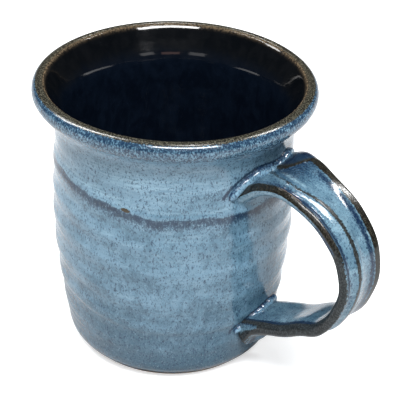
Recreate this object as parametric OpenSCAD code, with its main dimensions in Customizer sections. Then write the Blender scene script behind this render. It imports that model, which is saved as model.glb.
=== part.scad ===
// Hand-thrown stoneware shaving mug with a pulled strap handle.
// Frame: +Z up, origin on the table plane at the centre of the foot, the handle along +X.
// All sizes in millimetres.

/* [Cup] */
// Overall height from the table to the crest of the lip
cup_h = 104; // [96:1:114]
// Radius of the lip at its widest
lip_r = 50; // [47:0.5:53]
// Radius of the body at its belly
belly_r = 43; // [41:0.5:45]
// Thickness of the floor above the foot recess, glaze included
floor_t = 5; // [4:0.5:8]
// Depth of the trimmed recess under the floor
recess_h = 1.2; // [0.6:0.2:2]
// Radius of the trimmed recess under the floor
recess_r = 27; // [22:0.5:29]
// Height above the table where the outside glaze stops
bare_h = 1.6; // [1:0.2:3]

/* [Handle] */
// Furthest reach of the strap's middle line from the cup's axis
reach = 84; // [80:0.5:88]
// Width of the strap at its narrowest
strap_w = 19.5; // [17:0.5:21]
// Thickness of the strap along its middle
strap_t = 5.2; // [4.4:0.1:6]
// Depth of the two finger-drawn channels in the outer face
channel_d = 1.2; // [0.4:0.1:1.5]

/* [Joins] */
// Diameter of the clay coil pressed into each join
coil_d = 4.4; // [3.6:0.2:5]

/* [Glaze] */
// Thickness of the fired glaze coats
glaze_t = 0.5; // [0.4:0.1:0.7]

/* [Hidden] */
$fn = 96;

kz = cup_h/104;      // stretches the cup's section upwards
kb = belly_r/43;     // swells the body
kl = lip_r/50;       // opens the lip
kx = reach - 84;     // moves the bow of the handle out

// Glazed outer surface, from where the glaze stops over the crest: [radius, height, how much it follows the lip]
outer_rule = [[34.1, 1.6, 0], [35.8, 3.1, 0], [37.2, 5, 0], [38, 7.4, 0], [38.5, 10.4, 0], [39.3, 16.6, 0], [40.5, 23, 0],
    [41.3, 29, 0], [42, 35.5, 0], [42.6, 42, 0], [43, 48, 0], [43.1, 56, 0], [43, 66, 0], [42.8, 73, 0], [42.3, 79.5, 0],
    [42.4, 85, 0], [42.9, 89.5, 0], [44.2, 93, 0.4], [46, 95.6, 0.8], [48.1, 97, 1], [49.4, 98.4, 1], [50, 100.3, 1],
    [49.6, 102.2, 1], [48.5, 103.5, 1], [47, 104, 1], [46, 103.7, 1]];
// Glazed inner surface, from the lip's inner edge down to the middle of the floor; heights of the last points hang on the floor
inner_rule = [[46, 103.7, 1], [45, 102.6, 1], [43.4, 100, 1], [41.3, 97, 0.8], [39.4, 94.3, 0.4], [38.5, 91.5, 0],
    [38.4, 84, 0], [38.7, 72, 0], [38.8, 56, 0], [38.3, 42, 0], [37, 29, 0], [35.4, 19, 0]];

function rz(p) = [p[0]*(kb*(1 - p[2]) + kl*p[2]), p[1]*kz];
floor_z = recess_h + floor_t;
outer_s = concat([[rz(outer_rule[0])[0], bare_h]], [for (i = [1:len(outer_rule) - 1]) rz(outer_rule[i])]);
inner_s = concat([for (p = inner_rule) rz(p)],
    [[33.4*kb, floor_z + 6.4], [30*kb, floor_z + 2.5], [25*kb, floor_z + 0.6], [18*kb, floor_z], [0, floor_z]]);

// A polyline moved to its left by t, along the mean normal at each point
function unit(v) = v/norm(v);
function left(a, b) = let(d = unit(b - a)) [-d[1], d[0]];
function shifted(p, t) = [for (i = [0:len(p) - 1])
    i == 0 ? p[0] + t*left(p[0], p[1]) :
    i == len(p) - 1 ? p[i] + t*left(p[i - 1], p[i]) :
    let(n = left(p[i - 1], p[i]) + left(p[i], p[i + 1])) p[i] + t*n/(n*n)*2];
function reversed(p) = [for (i = [len(p) - 1:-1:0]) p[i]];

// Clay surfaces under the two coats; both meet at the inner edge of the lip
crest = [46*kl + glaze_t*0.35, 103.7*kz - glaze_t*0.95];
outer_c = let(s = shifted(outer_s, glaze_t)) concat([[outer_s[0][0] - 0.1, bare_h]], [for (i = [1:len(s) - 2]) s[i]], [crest]);
inner_c = let(s = shifted(inner_s, glaze_t)) concat([crest], [for (i = [1:len(s) - 2]) s[i]], [[0, floor_z - glaze_t]]);

// The clay of the cup: wall, floor, rolled lip and trimmed foot
module thrown_cup() {
    color([0.62, 0.50, 0.40])
    rotate_extrude()
        polygon(concat([[0, recess_h], [recess_r - 1.5, recess_h], [recess_r, 0], [outer_s[0][0] - 1.3, 0]],
            outer_c, [for (i = [1:len(inner_c) - 1]) inner_c[i]]));
}

// The blue coat outside, from the foot bevel over the crest of the lip
module body_glaze() {
    color([0.42, 0.55, 0.66])
    rotate_extrude() polygon(concat(outer_s, reversed(outer_c)));
}

// The dark coat inside, from the lip's inner edge to the floor
module liner_glaze() {
    color([0.05, 0.06, 0.12])
    rotate_extrude() polygon(concat(inner_s, reversed(inner_c)));
}

// Everything inside the cup's glazed outer surface, to trim the handle and the coils against
module cup_envelope() {
    rotate_extrude() polygon(concat([[0, 0], [outer_s[0][0] - 1.3, 0]], outer_s, [[0, 103.7*kz]]));
}

// Middle line of the strap in the XZ plane, from inside the upper wall round to inside the lower wall
strap_line = [[39, 77], [43.5, 80], [49, 83.2], [56, 85], [62 + kx/4, 84.1], [68.2 + kx/2, 81.4], [75.7 + kx, 75.7], [82 + kx, 67.2],
    [reach, 57], [81 + kx, 46.6], [73.6 + kx, 36.4], [66.3 + kx*0.6, 32.6], [59.7 + kx/4, 28.8], [51, 25.5], [44, 22.4], [38.2, 18.6]];
// Distances of the two edges from the middle plane, and thickness, at the points of that line
near_edge = [12.6, 12.6, 12.6, 12, 11.4, 10.8, 10.4, 9.9, 9.4, 8.9, 8.5, 8.4, 8.3, 8.4, 8.2, 6.8];
far_edge = [21.5, 20.6, 18, 14, 12, 11.6, 12, 11.6, 10.8, 10.6, 13, 14.2, 13.6, 13.2, 13.5, 16];
thickness = [7.5, 6.9, 6.1, 5.6, 5.2, 5.1, 5.1, 5.2, 5.2, 5.4, 5.8, 5.8, 5.8, 5.8, 5.8, 6];
function at(list, u) = lookup(u, [for (i = [0:len(list) - 1]) [i, list[i]]]);
function eased(list, u) = (at(list, u - 0.4) + 2*at(list, u) + at(list, u + 0.4))/4;
function near_at(u) = strap_w/19.5*eased(near_edge, u);
function far_at(u) = strap_w/19.5*eased(far_edge, u);
function thick_at(u) = strap_t/5.2*eased(thickness, u);

// Catmull-Rom spline through a list of points
function knot(p, i) = i < 0 ? 2*p[0] - p[1] : i >= len(p) ? 2*p[len(p) - 1] - p[len(p) - 2] : p[i];
function spline(p, u) = let(i = min(floor(u), len(p) - 2), t = u - i,
    a = knot(p, i - 1), b = knot(p, i), c = knot(p, i + 1), d = knot(p, i + 2))
    0.5*(2*b + (c - a)*t + (2*a - 5*b + 4*c - d)*t*t + (3*b - a - 3*c + d)*t*t*t);

// Height of the strap's outer face across its width, v from -1 to 1: two channels beside a narrow rib
rib_v = -0.26;
function channel(v) = v < rib_v
    ? let(u = (v + 0.86)/(rib_v - 0.05 + 0.86)) (u < 0 || u > 1 ? 0 : sin(180*u))
    : let(u = (v - rib_v - 0.05)/(0.86 - rib_v - 0.05)) (u < 0 || u > 1 ? 0 : sin(180*u));
n_side = 11;
function section(w, t, d) = concat(
    [for (i = [0:n_side]) let(v = -cos(180*i/n_side)) [v*w/2, t/2*pow(1 - pow(abs(v), 5), 0.5) - d*channel(v)]],
    [for (i = [n_side - 1:-1:1]) let(v = -cos(180*i/n_side)) [v*w/2, -t/2*pow(1 - pow(abs(v), 4), 0.5)]]);

n_ring = 45;
m = 2*n_side;
last = len(strap_line) - 1;
// Points of one ring of the strap's surface, skin millimetres under the glaze
function ring(k, skin) = let(s = k/n_ring, u = s*last, c = spline(strap_line, u),
    e = unit(spline(strap_line, u + 0.02) - spline(strap_line, u - 0.02)), n = [-e[1], e[0]])
    [for (q = section(near_at(u) + far_at(u) - 2*skin, thick_at(u) - 2*skin, channel_d*lookup(s, [[0, 0], [0.15, 0.5], [0.3, 1], [0.8, 1], [1, 0]])))
        [c[0] + q[1]*n[0], q[0] + (far_at(u) - near_at(u))/2, c[1] + q[1]*n[1]]];
// Sides between ring a and ring b of a list of points, from first point to first point
function sides(a, b) = [for (j = [0:m - 1]) each [[a + j, b + (j + 1)%m, b + j], [a + j, a + (j + 1)%m, b + (j + 1)%m]]];

// The strap as a closed solid between two of its rings
module strap(skin, k0 = 0, k1 = n_ring) {
    polyhedron(points = [for (k = [k0:k1]) each ring(k, skin)], faces = concat(
        [[for (j = [m - 1:-1:0]) j]],
        [[for (j = [0:m - 1]) (k1 - k0)*m + j]],
        [for (k = [0:k1 - k0 - 1]) each sides(k*m, (k + 1)*m)]), convexity = 6);
}

// The skin around the strap, open where it runs into the wall
module strap_skin(skin) {
    f = (n_ring + 1)*m;
    polyhedron(points = concat([for (k = [0:n_ring]) each ring(k, 0)], [for (k = [0:n_ring]) each ring(k, skin)]),
        faces = concat(
            [for (k = [0:n_ring - 1]) each sides(k*m, (k + 1)*m)],
            [for (k = [0:n_ring - 1]) each sides(f + (k + 1)*m, f + k*m)],
            sides(f, 0), sides(n_ring*m, f + n_ring*m)), convexity = 8);
}

// The clay of the pulled strap, trimmed to the cup's surface
module handle_strap() {
    color([0.56, 0.45, 0.37])
    difference() { strap(glaze_t); cup_envelope(); }
}

// The coat around the strap
module handle_glaze() {
    color([0.30, 0.42, 0.53])
    difference() { strap_skin(glaze_t); cup_envelope(); }
}

// Where each coil lies: azimuth in degrees from the handle, and height, from its near end to its far end
upper_path = [[-21, 77.6], [-14, 81.9], [-5, 84], [3, 83.2], [12, 82.8], [19, 83.6], [27, 81.8]];
lower_path = [[-13, 19.8], [-6, 23], [0, 24.8], [8, 25.4], [16, 25], [24, 21.4]];
function wall_r(z) = lookup(z, [for (p = outer_s) [p[1], p[0]]]);
function on_wall(p, out) = let(r = wall_r(p[1]*kz) + out) [r*cos(p[0]), r*sin(p[0]), p[1]*kz];

n_round = 12;
module coil(path, d) {
    n = 4*(len(path) - 1);
    pts = [for (k = [0:n])
        let(u = k/4, a = spline(path, u), c = on_wall(a, 0.1*d), t = unit(on_wall(spline(path, u + 0.05), 0) - on_wall(spline(path, u - 0.05), 0)),
            o = [cos(a[0]), sin(a[0]), 0], b = unit(cross(t, o)), r = d/2*lookup(k/n, [[0, 0.45], [0.12, 0.85], [0.3, 1], [0.7, 1], [0.88, 0.85], [1, 0.45]]))
        for (j = [0:n_round - 1]) c + r*(cos(360*j/n_round)*o + sin(360*j/n_round)*b)];
    polyhedron(points = pts, faces = concat(
        [[for (j = [0:n_round - 1]) j]],
        [[for (j = [n_round - 1:-1:0]) n*n_round + j]],
        [for (k = [0:n - 1], j = [0:n_round - 1]) each [
            [k*n_round + j, (k + 1)*n_round + j, (k + 1)*n_round + (j + 1)%n_round],
            [k*n_round + j, (k + 1)*n_round + (j + 1)%n_round, k*n_round + (j + 1)%n_round]]]), convexity = 4);
}

// Coil of clay pressed into the crease over the upper join
module upper_join_coil() {
    color([0.55, 0.67, 0.77])
    difference() { coil(upper_path, coil_d); cup_envelope(); strap(0, 0, 9); }
}

// Coil of clay pressed into the crease over the lower join
module lower_join_coil() {
    color([0.36, 0.50, 0.60])
    difference() { coil(lower_path, coil_d*0.9); cup_envelope(); strap(0, n_ring - 8, n_ring); }
}

thrown_cup();
body_glaze();
liner_glaze();
handle_strap();
handle_glaze();
upper_join_coil();
lower_join_coil();
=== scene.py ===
import bpy, math
import numpy as np
from mathutils import Vector, Matrix, noise


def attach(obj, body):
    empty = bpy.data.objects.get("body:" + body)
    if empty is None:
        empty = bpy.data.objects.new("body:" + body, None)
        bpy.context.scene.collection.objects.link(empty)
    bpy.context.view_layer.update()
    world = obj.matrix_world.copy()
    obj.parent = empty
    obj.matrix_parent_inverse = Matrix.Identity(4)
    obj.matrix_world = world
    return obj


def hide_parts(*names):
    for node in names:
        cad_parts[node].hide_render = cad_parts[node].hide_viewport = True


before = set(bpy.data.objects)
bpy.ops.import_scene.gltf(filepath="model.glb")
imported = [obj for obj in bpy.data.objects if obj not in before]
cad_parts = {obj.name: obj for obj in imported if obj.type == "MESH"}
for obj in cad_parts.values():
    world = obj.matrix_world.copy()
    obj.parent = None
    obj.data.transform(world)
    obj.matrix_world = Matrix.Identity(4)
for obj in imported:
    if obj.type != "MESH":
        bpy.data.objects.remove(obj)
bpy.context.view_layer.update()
MM = 0.001
rad = math.radians
scene = bpy.context.scene
scene.view_settings.view_transform = "Standard"
scene.view_settings.look = "None"
scene.view_settings.exposure = 0.0

# ------------------------------------------------------------------ helpers

def lin(r, g, b):
    """A display colour, 0 to 255, as a linear one."""
    def f(c):
        c = c / 255
        return c / 12.92 if c <= 0.04045 else ((c + 0.055) / 1.055) ** 2.4
    return (f(r), f(g), f(b), 1.0)


def deeper(k, *cols):
    """The same colours scaled by k in red, green and blue."""
    return [(c[0] * k[0], c[1] * k[1], c[2] * k[2], 1.0) for c in cols]


def sstep(x, a, b):
    t = np.clip((np.asarray(x, float) - a) / (b - a), 0, 1)
    return t * t * (3 - 2 * t)


def bell(x, c, w):
    return np.exp(-(((np.asarray(x, float) - c) / w) ** 2))


def spline(pts, n, closed=False):
    """n points evenly spaced along a centripetal Catmull-Rom curve through pts."""
    p = np.array(pts, float)
    ext = np.vstack([2 * p[0] - p[1], p, 2 * p[-1] - p[-2]])
    out = []
    for i in range(len(p) - 1):
        a, b, c, d = ext[i:i + 4]
        t0 = 0.0
        t1 = t0 + max(np.linalg.norm(b - a), 1e-9) ** 0.5
        t2 = t1 + max(np.linalg.norm(c - b), 1e-9) ** 0.5
        t3 = t2 + max(np.linalg.norm(d - c), 1e-9) ** 0.5
        t = np.linspace(t1, t2, 24, endpoint=False)[:, None]
        A1 = (t1 - t) / (t1 - t0) * a + (t - t0) / (t1 - t0) * b
        A2 = (t2 - t) / (t2 - t1) * b + (t - t1) / (t2 - t1) * c
        A3 = (t3 - t) / (t3 - t2) * c + (t - t2) / (t3 - t2) * d
        B1 = (t2 - t) / (t2 - t0) * A1 + (t - t0) / (t2 - t0) * A2
        B2 = (t3 - t) / (t3 - t1) * A2 + (t - t1) / (t3 - t1) * A3
        out.append((t2 - t) / (t2 - t1) * B1 + (t - t1) / (t2 - t1) * B2)
    out = np.vstack(out + [p[-1:]])
    s = np.concatenate([[0], np.cumsum(np.linalg.norm(np.diff(out, axis=0), axis=1))])
    u = np.linspace(0, s[-1], n)
    return np.stack([np.interp(u, s, out[:, k]) for k in range(out.shape[1])], 1)


def lookup(s, table):
    t = np.array(table, float)
    return np.interp(s, t[:, 0], t[:, 1])


def soft(s, table):
    """Like lookup, rounded off at its knots."""
    s = np.asarray(s, float)
    return sum(lookup(s + d, table) * w for d, w in ((-0.03, 1), (-0.015, 2), (0, 3), (0.015, 2), (0.03, 1))) / 9


def make(name, verts, faces, attrs=None, smooth=True):
    me = bpy.data.meshes.new(name)
    me.from_pydata([tuple(v) for v in np.asarray(verts) * MM], [], faces)
    me.update()
    for key, val in (attrs or {}).items():
        at = me.attributes.new(key, "FLOAT", "POINT")
        at.data.foreach_set("value", np.asarray(val, np.float32).ravel())
    if smooth:
        me.polygons.foreach_set("use_smooth", [True] * len(me.polygons))
    ob = bpy.data.objects.new(name, me)
    scene.collection.objects.link(ob)
    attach(ob, "root")
    return ob


def grid_faces(m, n, wrap_m=False, flip=False):
    """Quads of an m by n grid, closed around n, and around m too if wrap_m."""
    f = []
    for i in range(m if wrap_m else m - 1):
        a, b = i * n, ((i + 1) % m) * n
        for j in range(n):
            k = (j + 1) % n
            q = (a + j, a + k, b + k, b + j)
            f.append(q[::-1] if flip else q)
    return f

# ------------------------------------------------------------------ the cup's shape

OUTER = [(33.2, 0.6), (34.1, 1.6), (35.8, 3.2), (37.2, 5.2), (38.0, 7.6), (38.5, 10.6), (39.3, 16.6), (40.4, 23), (41.2, 29),
         (41.9, 35.5), (42.6, 42), (43.0, 48), (43.1, 56), (43.0, 66), (42.8, 73), (42.4, 79.5), (42.4, 85), (42.8, 89),
         (43.9, 92.4), (45.4, 94.8), (46.7, 96.1), (47.6, 96.5), (48.4, 97.0), (49.3, 98.2), (49.9, 99.6), (50.0, 100.8),
         (49.6, 102.2), (48.7, 103.3), (47.4, 103.9), (46.6, 103.9), (46.0, 103.6)]
INNER = [(46.0, 103.6), (45.2, 102.8), (44.0, 101.0), (42.6, 98.8), (41.0, 96.4), (39.6, 94.2), (38.8, 92), (38.5, 89), (38.4, 84), (38.7, 72),
         (38.8, 56), (38.3, 42), (37.0, 29), (35.4, 19), (33.4, 12.6), (30, 8.7), (25, 6.8), (18, 6.2), (9, 6.2), (0.6, 6.2)]
RINGS = [(6, 0), (10, -0.3), (17, 0.9), (24.4, -1), (29.5, 0.9), (34.5, -0.9), (41, 1), (47.5, -1), (54, 1), (58.5, -0.8), (64, 1), (68.5, -1),
         (74.8, 1.3), (80.5, -0.8), (86, 0), (110, 0)]


def ring_height(z, az):
    """Height along the wall as the potter's rings run, which dip towards the handle."""
    far = np.abs((az + rad(150) + np.pi) % (2 * np.pi) - np.pi)
    return z + 5.0 * sstep(far, rad(35), rad(98)) * sstep(z, 5, 30)


def rings(z, az):
    h = ring_height(z, az)
    zs = np.array([r[0] for r in RINGS], float)
    vs = np.array([r[1] for r in RINGS], float)
    i = np.clip(np.searchsorted(zs, h) - 1, 0, len(zs) - 2)
    t = np.clip((h - zs[i]) / (zs[i + 1] - zs[i]), 0, 1)
    t = (1 - np.cos(np.pi * t)) / 2
    v = vs[i] * (1 - t) + vs[i + 1] * t
    fine = 0.035 * np.sin(h * 1.9 + 1.2 * np.sin(az + 0.6)) + 0.015 * np.sin(h * 4.1 + 2 * np.sin(az * 2))
    return v * 0.27 + fine * sstep(z, 4, 14) * (1 - sstep(z, 80, 90))


def out_of_round(z, az):
    k = np.clip(z / 104, 0, 1)
    return 0.16 * k * np.sin(2 * az + 0.7) + 0.10 * k * np.sin(3 * az + 2.1) + 0.05 * np.sin(5 * az + z * 0.05)


def lathe(name, prof, wt, n_az, attrs=None, poles=(False, False), flip=False, closed=True):
    """Turned mesh from a profile of (r, z). wt says how much of the outside's rings each point takes."""
    prof = np.array(prof, float)
    m = len(prof)
    az = np.linspace(-np.pi, np.pi, n_az, endpoint=False)
    Z = np.repeat(prof[:, 1:2], n_az, 1)
    A = np.repeat(az[None], m, 0)
    W = np.asarray(wt, float)[:, None]
    R = prof[:, 0:1] + W * rings(Z, A) + out_of_round(Z, A) * np.minimum(1, prof[:, 0:1] / 30)
    Zd = Z + np.clip(Z / 104, 0, 1) ** 4 * (0.18 * np.sin(A + 2.4) + 0.10 * np.sin(3 * A + 0.5) - 0.12)
    V = np.stack([R * np.cos(A), R * np.sin(A), Zd], -1).reshape(-1, 3)
    f = grid_faces(m, n_az, wrap_m=closed and not any(poles), flip=flip)
    V = list(V)
    extra = []
    for end, row in ((0, 0), (1, m - 1)):
        if poles[end]:
            c = len(V)
            V.append(np.array([0, 0, prof[row, 1]]))
            extra.append(row)
            for j in range(n_az):
                a, b = row * n_az + j, row * n_az + (j + 1) % n_az
                tri = (c, b, a) if end == 0 else (c, a, b)
                f.append(tri[::-1] if flip else tri)
    at = {}
    for k, fn in (attrs or {}).items():
        v = np.broadcast_to(fn(Z, A, np.repeat(np.arange(m)[:, None], n_az, 1)), Z.shape).reshape(-1)
        at[k] = np.concatenate([v, [v[row * n_az] for row in extra]])
    return make(name, V, f, at)


def inset(p, t):
    """A polyline moved t to its left."""
    p = np.asarray(p, float)
    d = np.gradient(p, axis=0)
    d /= np.linalg.norm(d, axis=1)[:, None] + 1e-12
    return p + t * np.stack([-d[:, 1], d[:, 0]], 1)


def wall_r(z):
    o = np.array(OUTER)[:20]
    return np.interp(z, o[:, 1], o[:, 0])


def on_wall(az, z, out=0.0):
    az = np.asarray(az, float); z = np.asarray(z, float)
    r = wall_r(z) + rings(z, az) + out_of_round(z, az) + out
    return np.stack([r * np.cos(az), r * np.sin(az), z], -1)


N_AZ = 384
outer = spline(OUTER, 250)
inner = spline(INNER, 190)
skin_o = inset(outer, 0.5)
skin_i = inset(inner, 0.5)
start = int(np.argmax(outer[:, 1] > 1.0))
# the bare foot keeps the outside's curve below the glaze line

# Where the coils lie: azimuth in degrees and height
UP_COIL = [(-21, 77.6), (-18, 79.8), (-14, 81.9), (-10, 83.3), (-5, 84.0), (0, 83.6), (6, 82.8), (12, 82.8), (18.5, 83.6), (23, 83.2), (27, 81.5)]
LOW_COIL = [(-13, 19.2), (-9, 20.8), (-5, 22.4), (0, 23.6), (6, 24.2), (11, 24.5), (15.5, 24.1), (20, 22.6), (24, 20.2)]


def path_distance(z, az, path):
    """Distance on the wall from each point to a path, in mm, signed: positive above it."""
    p = spline(path, 60)
    best = np.full(np.shape(z), 1e9); sign = np.ones(np.shape(z))
    r = 43.0
    for a, h in p:
        dx = (az - rad(a)) * r; dz = z - h
        d = np.hypot(dx, dz)
        sign = np.where(d < best, np.sign(dz), sign)
        best = np.minimum(best, d)
    return best, sign


def near_wall(Z, A):
    return (np.abs(A) < rad(50)) & (Z < 95)


def body_tone(Z, A, I):
    """0 light at the neck, 1 dark at the foot."""
    h = ring_height(Z, A)
    t = lookup(Z, [(0, 1.1), (6, 1.05), (14, 0.9), (24, 0.68), (36, 0.42), (50, 0.22), (66, 0.12), (74, 0.1), (80, 0.0), (90, 0.05), (96, 0.2), (104, 0.2)])
    groove = np.clip(-rings(Z, A), -0.3, 0.3) * 0.30
    return t + groove


def body_brk(Z, A, I):
    """Where the glaze breaks brown: the shoulder ridge, the lip's crest and the line under the lip."""
    h = ring_height(Z, A)
    ends = 0.32 * bell(np.degrees(A), -22, 9) + 0.25 * bell(np.degrees(A), -98, 12)
    return ends * bell(h, 75.0, 1.6) * (I < keep)


def body_band(Z, A, I):
    """The speckled band where the glaze thins over the shoulder ridge: a sharp upper edge, and runs below it."""
    h = ring_height(Z, A)
    jag = 0.35 * np.sin(9 * A + 1) + 0.25 * np.sin(23 * A + 2)
    d = h - 76.3 - jag
    band = (1 - sstep(d, 0.0, 0.8)) * np.exp(-(np.minimum(d + 0.8, 0) / 2.9) ** 2)
    d2 = h - 84.2 - jag
    second = 0.55 * np.exp(-(d2 / 1.3) ** 2) * bell(np.degrees(A), -32, 12)
    return np.maximum(band, second) * (I < keep)


def body_pale_and_highlight(Z, A, I):
    """The paler streaky zone that runs above the band, partly a painted highlight along the ridge there, and a painted
    reflection: a light patch on the neck on the side that faces the camera.
    """
    h = ring_height(Z, A)
    # painted reflection: a light patch on the neck, centred on the side that faces the camera
    neck = 1.1 * bell(h, 88, 4.5) * bell(np.degrees(A), -62, 32)
    return np.maximum(bell(h, 79.2, 2.2) * (0.7 + 0.3 * np.sin(3 * A)), neck) * (I < keep)


def body_chip(Z, A, I):
    """One small brown flaw in the glaze at the top of the band."""
    x = (A - rad(-69.8)) * 43; z = Z - 73.3
    return np.exp(-((x / 1.9) ** 2 + ((z + 0.12 * x) / 0.75) ** 2) ** 1.5) * (I < keep)


outer_n = len(outer)
seg = np.gradient(outer, axis=0)
ang = np.degrees(np.arctan2(seg[:, 0], -seg[:, 1]))   # direction of the outward normal's elevation, from the curve


def lip_angle():
    """Elevation of the outward normal along the outer profile, in degrees."""
    n = np.stack([seg[:, 1], -seg[:, 0]], 1)
    return np.degrees(np.arctan2(n[:, 1], n[:, 0]))


LIP = lip_angle()
lip_mask = sstep(outer[:, 1], 96.0, 97.0)
crest_brk = lip_mask * sstep(LIP, 34, 64)
under_brk = 0.95 * bell(outer[:, 1], 96.7, 0.32) * (outer[:, 0] > 46.6)
lip_spk = lip_mask * (1 - sstep(LIP, 60, 85)) * (0.62 + 0.38 * sstep(LIP, -5, 40))
seam_o = bell(np.linspace(len(outer) - 1, 0, len(outer)), 0, 1.1)


def col(arr):
    arr = np.asarray(arr, float)
    def fn(Z, A, I):
        return arr[np.clip(I, 0, len(arr) - 1)] * (I < len(arr))
    return fn


glaze_prof = np.vstack([outer[start:], skin_o[::-1][: len(outer) - start][::6]])
keep = len(outer) - start
k0 = start


def shift(arr):
    return np.asarray(arr)[k0:]


def coil_dark(Z, A, I):
    """Dark pooled glaze in the creases beside the two joins."""
    out = np.zeros(Z.shape)
    m = near_wall(Z, A) & (I < keep)
    z, a = Z[m], A[m]
    d1, s1 = path_distance(z, a, UP_COIL)
    d2, s2 = path_distance(z, a, LOW_COIL)
    v = 0.95 * bell(d1, 2.5, 0.85) * (s1 > 0) + 0.9 * bell(d2, 2.0, 0.8) * (s2 > 0)
    out[m] = v
    return out


body = lathe("body_glaze_coat", glaze_prof, [1] * len(glaze_prof), N_AZ, {
    "tone": body_tone,
    "brk": lambda Z, A, I: np.maximum(body_brk(Z, A, I) * (I < keep), np.maximum(col(shift(crest_brk))(Z, A, I), col(shift(under_brk))(Z, A, I))),
    "spk": col(shift(lip_spk)),
    "band": body_band, "pale_and_highlight": body_pale_and_highlight, "chip": body_chip,
    "navy": coil_dark,
    "seam": col(shift(seam_o)),
}, flip=True)
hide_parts("body_glaze")

liner_prof = np.vstack([inner, skin_i[::-1][::5]])
seam_i = bell(np.arange(len(inner)), 0, 1.3)
flare = sstep(inner[:, 1], 86, 101)
liner = lathe("liner_glaze_coat", liner_prof[:len(inner)].tolist() + skin_i[::-1][::5].tolist(), [0.0] * len(liner_prof), N_AZ, {
    "brk": col(flare), "seam": col(seam_i),
    "tone": lambda Z, A, I: np.zeros(Z.shape), "spk": lambda Z, A, I: np.zeros(Z.shape), "navy": lambda Z, A, I: np.zeros(Z.shape),
}, flip=True)
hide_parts("liner_glaze")

foot = spline([(0.6, 1.2), (12, 1.2), (24.5, 1.15), (25.8, 0.9), (26.8, 0.3), (28.0, 0.0), (31.6, 0.0), (32.6, 0.18), (33.2, 0.6)], 60)
foot[:, 1] = np.maximum(foot[:, 1], 0)
clay_out = np.vstack([outer[:start], skin_o[start:][::4]])
clay_in = skin_i[::4]
clay_prof = np.vstack([foot, clay_out[1:], clay_in[1:]])
wt = np.concatenate([np.zeros(len(foot)), np.ones(len(clay_out) - 1), np.zeros(len(clay_in) - 1)])
clay = lathe("thrown_clay", clay_prof, wt, 256, None, poles=(True, True), flip=True)
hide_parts("thrown_cup")

# ------------------------------------------------------------------ the strap handle

LINE = [(39, 77), (43.4, 80.1), (48.9, 83.3), (56, 85), (61.9, 84.1), (68.2, 81.4), (75.7, 75.7), (81.9, 67.2), (83.9, 57), (81, 46.6),
        (73.6, 36.4), (66.3, 32.6), (59.7, 28.8), (51, 25.5), (44, 22.4), (38.2, 18.6)]
NR, NS = 240, 88


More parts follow.
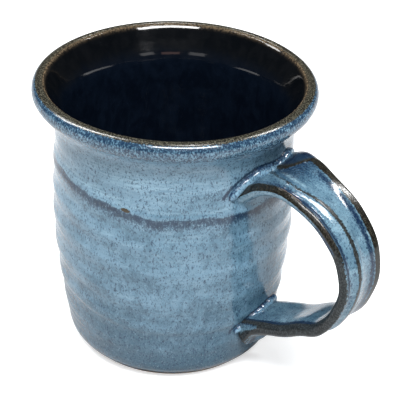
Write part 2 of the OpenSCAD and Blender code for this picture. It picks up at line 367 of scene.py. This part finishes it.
def strap(name, skin=0.0, node=None):
    c = spline(LINE, NR)
    e = np.gradient(c, axis=0); e /= np.linalg.norm(e, axis=1)[:, None]
    nrm = np.stack([-e[:, 1], e[:, 0]], 1)
    s = np.linspace(0, 1, NR)
    yn = soft(s, [(0, -12.6), (0.05, -12.6), (0.09, -12.6), (0.15, -12.0), (0.25, -10.8), (0.4, -10.0), (0.65, -8.6), (0.85, -8.3), (0.93, -8.3), (1, -6.8)])
    yf = soft(s, [(0, 21.5), (0.04, 20.6), (0.08, 18.6), (0.12, 15.8), (0.15, 13.9), (0.18, 12.5), (0.2, 11.8), (0.23, 11.5), (0.26, 11.6), (0.3, 11.9), (0.35, 12), (0.45, 11.2), (0.55, 10.3), (0.6, 10.6), (0.66, 12.5), (0.74, 14.3), (0.83, 13.5), (0.91, 13), (1, 16)])
    W, yc = yf - yn, (yf + yn) / 2
    T = soft(s, [(0, 7.5), (0.07, 6.4), (0.15, 5.6), (0.22, 5.1), (0.5, 5.2), (0.62, 5.4), (0.7, 5.9), (0.82, 5.8), (0.92, 5.9), (0.97, 6.0), (1, 6.4)])
    web = soft(s, [(0, 0), (0.88, 0), (0.94, 1.0), (0.97, 2.6), (1, 5.2)])
    droop = soft(s, [(0, 1.5), (0.05, 1.0), (0.12, 0.5), (0.2, 0.2), (0.4, 0), (0.85, 0), (0.95, 0.5), (1, 1.0)])
    vr = soft(s, [(0, 0.0), (0.06, -0.2), (0.105, -0.43), (0.15, -0.56), (0.18, -0.55), (0.21, -0.45), (0.25, -0.32), (0.3, -0.24), (0.4, -0.25), (0.46, -0.28), (1, -0.24)])
    vc = lookup(s, [(0, 0.05), (0.09, 0.05), (0.105, 0.15), (0.12, 0.5), (0.135, 0.82), (0.15, 0.9), (1, 0.90)])
    d1 = soft(s, [(0, 0.7), (0.1, 1.2), (0.3, 1.5), (0.7, 1.3), (0.9, 0.8), (1, 0.3)])
    d2 = soft(s, [(0, 0.1), (0.06, 0.6), (0.14, 1.1), (0.3, 1.35), (0.7, 1.15), (0.9, 0.7), (1, 0.2)])
    rh = soft(s, [(0, -0.1), (0.1, -0.35), (0.4, -0.25), (0.8, -0.2), (1, -0.1)])
    # points round the section: outer face from near to far, then the inner face back
    n_top = 56
    vt = -np.cos(np.pi * (np.arange(n_top) / (n_top - 1)))
    vt = np.sign(vt) * np.abs(vt) ** 0.9
    vb = np.cos(np.pi * (np.arange(1, NS - n_top + 1) / (NS - n_top + 1)))
    v = np.concatenate([vt, vb])
    top = np.concatenate([np.ones(n_top, bool), np.zeros(len(vb), bool)])
    S = s[:, None]; V = np.repeat(v[None], NR, 0)
    edge = np.clip(1 - np.abs(V) ** 6, 0, 1) ** 0.5
    edge_b = np.clip(1 - np.abs(V) ** 4.5, 0, 1) ** 0.5
    vn = -0.88
    half = (T / 2)[:, None]
    rib_w = 0.055
    u1 = np.clip((V - vn) / ((vr - rib_w)[:, None] - vn), 0, 1)
    u2 = np.clip((V - (vr + rib_w)[:, None]) / ((vc - vr - rib_w)[:, None] + 1e-6), 0, 1)
    ch = d1[:, None] * np.sin(np.pi * u1) ** 1.1 + d2[:, None] * np.sin(np.pi * u2) ** 1.1
    beyond = np.clip((V - vc[:, None]) / (1.0001 - vc[:, None]), 0, 1)
    fall = -np.clip((V - 0.2) / 0.8, 0, 1) * soft(s, [(0, 1.6), (0.06, 2.0), (0.1, 1.6), (0.15, 0.6), (0.2, 0), (1, 0)])[:, None]
    rib = rh[:, None] * bell(V, vr[:, None], 0.10)
    bt = half * edge + web[:, None] - ch + rib - fall + 0.18 * bell(V, -0.86, 0.06) + 0.15 * bell(V, vc[:, None] - 0.02, 0.06)
    bb = -half * edge_b + 0.25 * (1 - V ** 2)
    B = np.where(top[None], bt, bb)
    B = B - droop[:, None] * np.where(V < 0, 1.0, 0.25) * V ** 2
    # hand-drawn unevenness along the strap
    B = B + 0.10 * np.sin(S * 31 + 2 * V) + 0.07 * np.sin(S * 57 + 3.3 * V + 1)
    Y = V * (W / 2)[:, None] + yc[:, None] + 0.22 * np.sin(S * 19 + 0.4) * (V < 0) + 0.18 * np.sin(S * 23 + 2) * (V > 0)
    if skin:
        Y = (Y - yc[:, None]) * (1 - 2 * skin / W[:, None]) + yc[:, None]
        B = B * (1 - 2 * skin / T[:, None])
    P = np.stack([c[:, 0:1] + B * nrm[:, 0:1], Y, c[:, 1:2] + B * nrm[:, 1:2]], -1)
    verts = list(P.reshape(-1, 3))
    f = grid_faces(NR, NS, flip=False)
    a, b = len(verts), len(verts) + 1
    verts.append(P[0].mean(0)); verts.append(P[-1].mean(0))
    for j in range(NS):
        k = (j + 1) % NS
        f.append((a, k, j))
        f.append((b, (NR - 1) * NS + j, (NR - 1) * NS + k))
    topm = top[None] & np.ones_like(V, bool)
    fade = sstep(s, 0.0, 0.05)[:, None]
    upper = 1 - sstep(s, 0.34, 0.43)[:, None]
    root = sstep(s, 0.86, 0.94)[:, None]
    crest_n = sstep(-V, 0.80, 0.88) * (1 - sstep(-V, 0.985, 1.0)) * topm * (0.6 + 0.5 * upper)
    side_n = 1.25 * sstep(-V, 0.88, 0.93) * (1 - upper)
    side_n = np.maximum(side_n, 1.25 * (~topm) * sstep(-V, 0.76, 0.86) * (1 - upper))
    side_n = side_n * (1 - root) + root * np.maximum(1.1 * bell(V, -1.0, 0.06) * topm, 1.2 * bell(V, -0.84, 0.09) * (~topm))
    far = sstep(V, 0.57, 0.72) * topm * sstep(s, 0.11, 0.15)[:, None] * soft(s, [(0, 1), (0.55, 1), (0.66, 0.8), (1, 0.8)])[:, None]
    crease = 1.2 * bell(V, vc[:, None], 0.14) * topm * (1 - sstep(s, 0.13, 0.16))[:, None]
    crest_f = np.maximum.reduce([far, crease, beyond * topm * (1 - sstep(s, 0.02, 0.06))[:, None]])
    crest_f = np.maximum(crest_f, bell(V, 1.0, 0.06) * topm)
    ribm = bell(V, vr[:, None], 0.10) * topm * soft(s, [(0, 0.5), (0.08, 0.75), (0.14, 0.55), (0.2, 0.75), (0.3, 1.0), (0.55, 1.0), (0.62, 0.7), (0.8, 0.3), (1, 0)])[:, None]
    brk = np.maximum.reduce([crest_n, crest_f, side_n, ribm])
    grey = np.maximum(side_n, ribm * 0.8)
    navy = np.maximum(bell(V, -0.74, 0.13) * soft(s, [(0, 0.5), (0.15, 0.7), (0.25, 1), (0.5, 1), (1, 1)])[:, None], bell(V, 0.52, 0.15) * sstep(s, 0.12, 0.2)[:, None] * 0.8) * topm
    navy = np.maximum(navy, (~topm) * 0.12)
    navy = np.maximum(navy, (~topm) * bell(V, -0.82, 0.16) * (1 - upper) * 1.1)
    navy = np.maximum(navy, sstep(V - vc[:, None], 0.0, 0.15) * (1 - sstep(s, 0.11, 0.14))[:, None] * 0.85 * topm)
    navy = navy * (1 - (~topm) * sstep(-V, 0.55, 0.85) * upper)
    navy = np.maximum(navy, sstep(-V, 0.6, 0.8) * ((~topm) | (V < -0.95)) * bell(s, 0.35, 0.12)[:, None] * 0.75)
    navy = np.maximum(navy, 0.66 * topm * (1 - sstep(s, 0.11, 0.22))[:, None] * sstep(V - vr[:, None], 0.05, 0.25))
    fade_p = soft(s, [(0, 0.6), (0.15, 0.45), (0.24, 0.1), (0.3, 0), (0.9, 0), (0.94, 0.4), (1, 0.5)])[:, None]
    strap_pale_and_highlight = ((~topm) * sstep(-V, 0.6, 0.85) + sstep(-V, 0.97, 1.0) * topm) * fade_p
    # painted highlights: light lines along the far side of the rib, low on the strap and near the top join; the line
    # above is lighter glaze on the near side towards the ends
    strap_pale_and_highlight = np.maximum(strap_pale_and_highlight, bell(V, vr[:, None] + 0.20, 0.09) * topm * sstep(s, 0.4, 0.5)[:, None] * 0.9)
    strap_pale_and_highlight = np.maximum(strap_pale_and_highlight, bell(V, vr[:, None] + 0.24, 0.06) * topm * bell(s, 0.15, 0.06)[:, None])
    tone = np.where(topm, 0.12 + 0.12 * (1 - np.abs(V)) + 0.85 * (1 - sstep(s, 0.12, 0.24))[:, None] * (V > vr[:, None]), 0.32) * (1 - np.clip(strap_pale_and_highlight, 0, 1))
    pad = lambda q: np.concatenate([np.broadcast_to(q, V.shape).reshape(-1), [0, 0]])
    ob = make(name, verts, f, {"brk": pad(brk), "navy": pad(navy), "tone": pad(tone), "spk": pad(np.zeros_like(V)), "seam": pad(np.zeros_like(V)), "pale_and_highlight": pad(strap_pale_and_highlight), "grey": pad(grey)})
    return ob


handle = strap("handle_glaze_coat")
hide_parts("handle_glaze")
core = strap("handle_clay_core", skin=0.5)
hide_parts("handle_strap")

# ------------------------------------------------------------------ the two join coils


def coil(name, path, radius, lift, node, ends=0.35):
    p = spline(path, 70)
    az, z = np.radians(p[:, 0]), p[:, 1]
    c = on_wall(az, z, lift)
    t = np.gradient(c, axis=0); t /= np.linalg.norm(t, axis=1)[:, None]
    o = np.stack([np.cos(az), np.sin(az), 0 * az], 1)
    b = np.cross(t, o); b /= np.linalg.norm(b, axis=1)[:, None]
    u = np.linspace(0, 1, len(p))
    r = radius * (ends + (1 - ends) * np.sin(np.pi * np.clip(u, 0.0, 1)) ** 0.5) * (1 + 0.10 * np.sin(u * 17 + 1) + 0.07 * np.sin(u * 41))
    n = 28
    th = np.linspace(0, 2 * np.pi, n, endpoint=False)
    P = c[:, None] + r[:, None, None] * (np.cos(th)[None, :, None] * o[:, None] * 1.0 + np.sin(th)[None, :, None] * b[:, None] * 1.15)
    verts = list(P.reshape(-1, 3))
    m = len(p)
    f = grid_faces(m, n)
    a0 = len(verts)
    verts.append(c[0] - t[0] * r[0] * 0.6); verts.append(c[-1] + t[-1] * r[-1] * 0.6)
    for j in range(n):
        k = (j + 1) % n
        f.append((a0, k, j)); f.append((a0 + 1, (m - 1) * n + j, (m - 1) * n + k))
    zero = np.zeros(len(verts))
    side = np.concatenate([np.repeat(np.abs(np.sin(th))[None], m, 0).reshape(-1), [1, 1]])
    ob = make(name, verts, f, {"brk": zero + 0.24, "navy": 0.30 + 0.38 * sstep(side, 0.55, 0.95), "tone": zero + 0.35, "spk": zero, "seam": zero})
    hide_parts(node)
    return ob


up = coil("upper_coil", UP_COIL, 1.95, 0.3, "upper_join_coil")
low = coil("lower_coil", LOW_COIL, 1.45, 0.4, "lower_join_coil")

# ------------------------------------------------------------------ materials


class Nodes:
    def __init__(self, name):
        self.mat = bpy.data.materials.new(name)
        self.mat.use_nodes = True
        self.t = self.mat.node_tree
        self.t.nodes.clear()
        self.out = self.t.nodes.new("ShaderNodeOutputMaterial")
        self.bsdf = self.t.nodes.new("ShaderNodeBsdfPrincipled")
        self.t.links.new(self.bsdf.outputs[0], self.out.inputs[0])
        tc = self.t.nodes.new("ShaderNodeTexCoord")
        self.co = tc.outputs["Object"]

    def link(self, a, b):
        self.t.links.new(a, b)

    def put(self, sock, v):
        if isinstance(v, bpy.types.NodeSocket):
            self.link(v, sock)
        else:
            sock.default_value = v

    def math(self, op, a, b=0.0, c=None, clamp=False):
        n = self.t.nodes.new("ShaderNodeMath"); n.operation = op; n.use_clamp = clamp
        self.put(n.inputs[0], a); self.put(n.inputs[1], b)
        if c is not None:
            self.put(n.inputs[2], c)
        return n.outputs[0]

    def ramp(self, x, a, b, lo=0.0, hi=1.0):
        n = self.t.nodes.new("ShaderNodeMapRange"); n.interpolation_type = "SMOOTHSTEP"
        self.put(n.inputs[0], x); n.inputs[1].default_value = a; n.inputs[2].default_value = b
        n.inputs[3].default_value = lo; n.inputs[4].default_value = hi
        return n.outputs[0]

    def mix(self, f, a, b, mode="MIX"):
        n = self.t.nodes.new("ShaderNodeMix"); n.data_type = "RGBA"; n.blend_type = mode
        self.put(n.inputs[0], f); self.put(n.inputs[6], a); self.put(n.inputs[7], b)
        return n.outputs[2]

    def noise(self, per_mm, detail=3.0, rough=0.55, stretch=(1, 1, 1), seed=0.0, distort=0.0):
        """Noise whose features are about 1/per_mm millimetres across."""
        m = self.t.nodes.new("ShaderNodeMapping")
        m.inputs["Scale"].default_value = [1000 * per_mm * k for k in stretch]
        m.inputs["Location"].default_value = (seed, seed * 1.7, seed * 0.3)
        self.link(self.co, m.inputs[0])
        n = self.t.nodes.new("ShaderNodeTexNoise")
        n.inputs["Scale"].default_value = 1.0
        n.inputs["Detail"].default_value = detail
        n.inputs["Roughness"].default_value = rough
        n.inputs["Distortion"].default_value = distort
        self.link(m.outputs[0], n.inputs["Vector"])
        return n.outputs[0]

    def attr(self, name):
        n = self.t.nodes.new("ShaderNodeAttribute"); n.attribute_name = name
        return n.outputs["Fac"]

    def bump(self, h, strength, dist_mm, normal=None):
        n = self.t.nodes.new("ShaderNodeBump")
        n.inputs["Strength"].default_value = strength
        n.inputs["Distance"].default_value = dist_mm * MM
        self.link(h, n.inputs["Height"])
        if normal is not None:
            self.link(normal, n.inputs["Normal"])
        return n.outputs[0]


def blue_glaze(name, light, mid, deep, streak, pale_and_highlight, navy, brown, brown2, speckle=1.0):
    g = Nodes(name)
    big = g.noise(0.055, 3, 0.55, (1, 1, 1.3), 3.1)
    medium = g.noise(0.32, 4, 0.6, (1, 1, 0.55), 7.7, 0.4)
    fine = g.noise(1.75, 3, 0.6, (1, 1, 0.55), 1.3, 0.6)
    fine2 = g.noise(1.9, 2, 0.5, (1, 1, 0.7), 9.4)
    spots = g.noise(1.05, 1, 0.4, (1, 1, 0.7), 5.2)
    tone, brk, nav, spk, seam = (g.attr(a) for a in ("tone", "brk", "navy", "spk", "seam"))
    c = g.mix(g.ramp(big, 0.36, 0.66), light, mid)
    c = g.mix(g.math("MULTIPLY", g.ramp(medium, 0.45, 0.72), 0.42), c, deep)
    sweep = g.noise(0.16, 4, 0.62, (0.4, 0.4, 2.2), 21.0, 0.3)
    c = g.mix(g.ramp(sweep, 0.50, 0.72, 0.0, 0.45), c, deep)
    c = g.mix(g.ramp(sweep, 0.48, 0.30, 0.0, 0.35), c, pale_and_highlight)
    t = g.math("ADD", tone, g.math("MULTIPLY", g.math("SUBTRACT", medium, 0.5), 1.0))
    c = g.mix(g.ramp(t, 0.05, 1.15), c, deep)
    band, pale_and_highlight_mask, chip = g.attr("band"), g.attr("pale_and_highlight"), g.attr("chip")
    strk = g.noise(0.5, 3, 0.6, (0.35, 0.35, 2.4), 15.0)
    # paler streaks, plus painted highlights and a painted reflection: this mask also lays the ridge streak and the neck
    # patch on the body and the light lines beside the handle's rib
    c = g.mix(g.math("MULTIPLY", g.math("MULTIPLY", pale_and_highlight_mask, g.ramp(strk, 0.35, 0.65)), 0.65), c, pale_and_highlight)
    run = g.noise(0.55, 3, 0.6, (1, 1, 0.28), 33.0, 0.2)
    bd = g.math("ADD", band, g.math("ADD", g.math("MULTIPLY", g.math("SUBTRACT", medium, 0.5), 0.9), g.math("MULTIPLY", g.math("SUBTRACT", run, 0.5), 1.3)))
    bd = g.math("MULTIPLY", bd, g.ramp(band, 0.04, 0.25))
    c = g.mix(g.ramp(bd, 0.35, 1.15, 0.0, 0.80), c, lin(28, 45, 62))
    c = g.mix(g.math("MULTIPLY", g.ramp(g.math("ADD", band, g.math("MULTIPLY", g.math("SUBTRACT", sweep, 0.5), 2.2)), 0.95, 1.35), 0.55), c, lin(44, 42, 36))
    dens = g.math("ADD", g.math("ADD", g.math("MULTIPLY", spk, 0.13), g.math("MULTIPLY", nav, 0.12)), g.math("MULTIPLY", band, 0.15))
    f1 = g.math("ADD", fine, dens)
    c = g.mix(g.math("MULTIPLY", g.ramp(f1, 0.530, 0.65), 0.72 * speckle), c, streak)
    c = g.mix(g.math("MULTIPLY", g.ramp(spots, 0.64, 0.74), 0.62 * speckle), c, streak)
    c = g.mix(g.math("MULTIPLY", g.ramp(fine2, 0.585, 0.72), 0.42), c, pale_and_highlight)
    nv = g.math("ADD", nav, g.math("MULTIPLY", g.math("SUBTRACT", fine, 0.5), 0.9))
    c = g.mix(g.ramp(nv, 0.30, 0.80, 0.0, 0.92), c, navy)
    sp = g.math("ADD", g.math("MULTIPLY", spk, 0.84), g.math("MULTIPLY", g.math("SUBTRACT", fine2, 0.5), 2.6))
    sp = g.math("ADD", sp, g.math("MULTIPLY", g.math("SUBTRACT", fine, 0.5), 2.2))
    c = g.mix(g.ramp(sp, 0.38, 0.92, 0.0, 0.85), c, navy)
    b = g.math("ADD", brk, g.math("MULTIPLY", g.math("SUBTRACT", fine, 0.5), 1.1))
    b = g.math("ADD", b, g.math("MULTIPLY", g.math("SUBTRACT", medium, 0.5), 0.35))
    bm = g.ramp(b, 0.42, 0.72)
    bc = g.mix(g.ramp(fine2, 0.44, 0.66), brown, brown2)
    bc = g.mix(g.math("MULTIPLY", g.attr("grey"), g.ramp(medium, 0.3, 0.6, 0.6, 1.0)), bc, g.mix(g.ramp(fine2, 0.45, 0.62), lin(37, 40, 41), lin(60, 65, 67)))
    c = g.mix(bm, c, bc)
    cp = g.ramp(g.math("ADD", chip, g.math("MULTIPLY", g.math("SUBTRACT", fine2, 0.5), 0.8)), 0.35, 0.6)
    c = g.mix(cp, c, lin(58, 48, 32))
    sm = g.math("MULTIPLY", seam, g.ramp(fine2, 0.35, 0.62, 0.1, 0.55))
    c = g.mix(sm, c, lin(112, 102, 84))
    g.link(c, g.bsdf.inputs["Base Color"])
    r = g.math("ADD", g.math("MULTIPLY", medium, 0.06), g.math("MULTIPLY", bm, 0.10))
    g.link(g.math("ADD", r, 0.075), g.bsdf.inputs["Roughness"])
    g.bsdf.inputs["IOR"].default_value = 1.55
    g.link(g.math("SUBTRACT", 0.5, g.math("MULTIPLY", g.attr("grey"), 0.26)), g.bsdf.inputs["Specular IOR Level"])
    h = g.math("ADD", g.math("MULTIPLY", medium, 0.7), g.math("MULTIPLY", fine, 0.22))
    n = g.bump(h, 0.25, 0.35)
    pits = g.ramp(g.noise(0.9, 1, 0.4, (1, 1, 1), 12.0), 0.74, 0.82, 1.0, 0.0)
    n = g.bump(pits, 0.25, 0.2, n)
    g.link(n, g.bsdf.inputs["Normal"])
    return g.mat


mat_body = blue_glaze("blue_glaze", *deeper((0.77, 0.88, 0.88), lin(122, 150, 172), lin(104, 133, 154), lin(66, 94, 114), lin(24, 46, 74), lin(160, 186, 205),
                                            lin(24, 45, 70), lin(34, 30, 25), lin(88, 81, 70)))
mat_handle = blue_glaze("handle_glaze", *deeper((0.82, 0.87, 0.82), lin(110, 140, 162), lin(90, 120, 144), lin(54, 84, 110), lin(32, 56, 88), lin(160, 188, 208),
                                                lin(16, 34, 62), lin(26, 24, 21), lin(54, 51, 45)))
mat_coil = blue_glaze("coil_glaze", *deeper((0.80, 0.93, 0.94), lin(140, 168, 190), lin(116, 146, 170), lin(80, 110, 134), lin(40, 66, 96), lin(172, 198, 215),
                                            lin(22, 40, 72), lin(46, 42, 36), lin(98, 92, 80)))


def liner_material():
    g = Nodes("liner_glaze")
    medium = g.noise(0.25, 4, 0.6, (1, 1, 0.6), 4.0, 0.5)
    fine = g.noise(1.3, 2, 0.5, (1, 1, 0.6), 2.0)
    brk, seam = g.attr("brk"), g.attr("seam")
    c = g.mix(g.ramp(medium, 0.35, 0.7), lin(6, 12, 22), lin(12, 20, 32))
    c = g.mix(g.math("MULTIPLY", g.ramp(fine, 0.6, 0.72), 0.25), c, lin(16, 22, 40))
    bc = g.mix(g.ramp(medium, 0.35, 0.7), lin(4, 6, 9), lin(9, 11, 14))
    b = g.math("ADD", brk, g.math("MULTIPLY", g.math("SUBTRACT", medium, 0.5), 0.6))
    c = g.mix(g.ramp(b, 0.2, 0.9), c, bc)
    c = g.mix(g.math("MULTIPLY", seam, g.ramp(fine, 0.35, 0.6, 0.15, 0.7)), c, lin(122, 106, 84))
    g.link(c, g.bsdf.inputs["Base Color"])
    g.link(g.math("ADD", g.math("MULTIPLY", medium, 0.05), 0.05), g.bsdf.inputs["Roughness"])
    g.bsdf.inputs["IOR"].default_value = 1.5
    n = g.bump(g.math("ADD", medium, g.math("MULTIPLY", fine, 0.10)), 0.11, 0.3)
    g.link(n, g.bsdf.inputs["Normal"])
    return g.mat


def clay_material(name, a, b, dark):
    g = Nodes(name)
    medium = g.noise(0.3, 4, 0.65, (1, 1, 1), 6.0)
    grit = g.noise(1.6, 2, 0.5, (1, 1, 1), 8.0)
    c = g.mix(g.ramp(medium, 0.35, 0.68), a, b)
    c = g.mix(g.math("MULTIPLY", g.ramp(grit, 0.66, 0.72), 0.85), c, dark)
    g.link(c, g.bsdf.inputs["Base Color"])
    g.link(g.ramp(grit, 0.3, 0.7, 0.62, 0.85), g.bsdf.inputs["Roughness"])
    n = g.bump(g.math("ADD", g.math("MULTIPLY", medium, 0.6), grit), 0.5, 0.25)
    g.link(n, g.bsdf.inputs["Normal"])
    return g.mat


for ob, mt in ((body, mat_body), (handle, mat_handle), (up, mat_coil), (low, mat_coil), (liner, liner_material()),
               (clay, clay_material("clay", lin(176, 148, 120), lin(150, 122, 98), lin(74, 56, 44))),
               (core, clay_material("handle_clay", lin(166, 138, 112), lin(142, 114, 92), lin(74, 56, 44)))):
    ob.data.materials.clear()
    ob.data.materials.append(mt)

# ------------------------------------------------------------------ floor, light and camera

AZ, EL, ROLL = rad(42.2), rad(31.02), rad(1.15)
fwd = Vector((-math.sin(AZ) * math.cos(EL), math.cos(AZ) * math.cos(EL), -math.sin(EL)))
rt = Vector((math.cos(AZ), math.sin(AZ), 0))
upv = rt.cross(fwd)
aim = Vector((0, 0, 0.0519))
pos = aim - fwd * 0.6
r2 = rt * math.cos(ROLL) + upv * math.sin(ROLL)
u2 = -rt * math.sin(ROLL) + upv * math.cos(ROLL)
F_PX = 1646.4
look = (fwd + r2 * (26.9 / F_PX) + u2 * (5.4 / F_PX)).normalized()
r3 = (r2 - look * r2.dot(look)).normalized()
u3 = r3.cross(look)
cam_data = bpy.data.cameras.new("camera")
cam_data.lens = 36 * F_PX / 400
cam_data.sensor_width = 36
cam_data.clip_start, cam_data.clip_end = 0.01, 20
cam = bpy.data.objects.new("camera", cam_data)
scene.collection.objects.link(cam)
cam.matrix_world = Matrix(((r3.x, u3.x, -look.x, pos.x), (r3.y, u3.y, -look.y, pos.y), (r3.z, u3.z, -look.z, pos.z), (0, 0, 0, 1)))
scene.camera = cam

me = bpy.data.meshes.new("floor")
n = 96
me.from_pydata([(0, 0, 0)] + [(4.0 * math.cos(2 * math.pi * k / n), 4.0 * math.sin(2 * math.pi * k / n), 0) for k in range(n)], [],
               [(0, 1 + k, 1 + (k + 1) % n) for k in range(n)])
floor = bpy.data.objects.new("floor", me)
scene.collection.objects.link(floor)
fm = bpy.data.materials.new("floor_paper"); fm.use_nodes = True
ft = fm.node_tree
fb = ft.nodes["Principled BSDF"]
fb.inputs["Base Color"].default_value = (0.60, 0.61, 0.62, 1)
fb.inputs["Roughness"].default_value = 0.9
fb.inputs["Specular IOR Level"].default_value = 0.1
fl = ft.nodes.new("ShaderNodeLightPath")
fe = ft.nodes.new("ShaderNodeEmission"); fe.inputs[1].default_value = 0.62
fa = ft.nodes.new("ShaderNodeAddShader"); fx = ft.nodes.new("ShaderNodeMixShader")
ft.links.new(fb.outputs[0], fa.inputs[0]); ft.links.new(fe.outputs[0], fa.inputs[1])
ft.links.new(fl.outputs["Is Camera Ray"], fx.inputs[0])
ft.links.new(fb.outputs[0], fx.inputs[1]); ft.links.new(fa.outputs[0], fx.inputs[2])
ft.links.new(fx.outputs[0], ft.nodes["Material Output"].inputs[0])
me.materials.append(fm)

world = bpy.data.worlds.new("studio") if not scene.world else scene.world
scene.world = world
world.use_nodes = True
wt_ = world.node_tree
wt_.nodes.clear()
wo = wt_.nodes.new("ShaderNodeOutputWorld")
bg = wt_.nodes.new("ShaderNodeBackground")
bg.inputs[0].default_value = (0.97, 0.985, 1.0, 1)
lp = wt_.nodes.new("ShaderNodeLightPath")
mx = wt_.nodes.new("ShaderNodeMix"); mx.data_type = "FLOAT"
mx.inputs[2].default_value = 0.035
mx.inputs[3].default_value = 1.5
wt_.links.new(lp.outputs["Is Camera Ray"], mx.inputs[0])
wt_.links.new(mx.outputs[0], bg.inputs[1])
wt_.links.new(bg.outputs[0], wo.inputs[0])


def area(name, direction, dist, sx, sy, power, color=(1, 1, 1), target=(0, 0, 0.06)):
    """A soft rectangular light. direction is (right, away, up) seen from the camera."""
    d = bpy.data.lights.new(name, "AREA")
    d.shape = "RECTANGLE"; d.size = sx; d.size_y = sy; d.energy = power; d.color = color
    o = bpy.data.objects.new(name, d)
    scene.collection.objects.link(o)
    hor = Vector((fwd.x, fwd.y, 0)).normalized()
    v = (rt * direction[0] + hor * direction[1] + Vector((0, 0, 1)) * direction[2]).normalized()
    o.location = Vector(target) + v * dist
    z = v
    x = (rt - z * rt.dot(z)).normalized()
    y = z.cross(x)
    o.matrix_world = Matrix(((x.x, y.x, z.x, o.location.x), (x.y, y.y, z.y, o.location.y), (x.z, y.z, z.z, o.location.z), (0, 0, 0, 1)))
    return o


area("ceiling_left", (-0.50, 0.20, 0.86), 1.6, 0.70, 0.12, 14)
area("ceiling_mid", (0.10, 0.0, 0.99), 1.6, 0.26, 0.07, 5)
area("ceiling_right", (0.60, 0.18, 0.80), 1.6, 0.55, 0.06, 10)
area("key_left", (-0.72, 0.26, 0.64), 1.5, 0.40, 0.36, 6)
area("fill_front", (0.10, -0.56, 0.83), 1.7, 1.2, 0.36, 41)
area("window_a", (0.44, -0.74, 0.53), 1.6, 0.32, 0.34, 0.5)
area("window_b", (0.10, -0.85, 0.53), 1.6, 0.46, 0.30, 0.45, (1, 0.6, 0.5))
area("window_c", (-0.32, -0.80, 0.53), 1.6, 0.42, 0.36, 0.6)
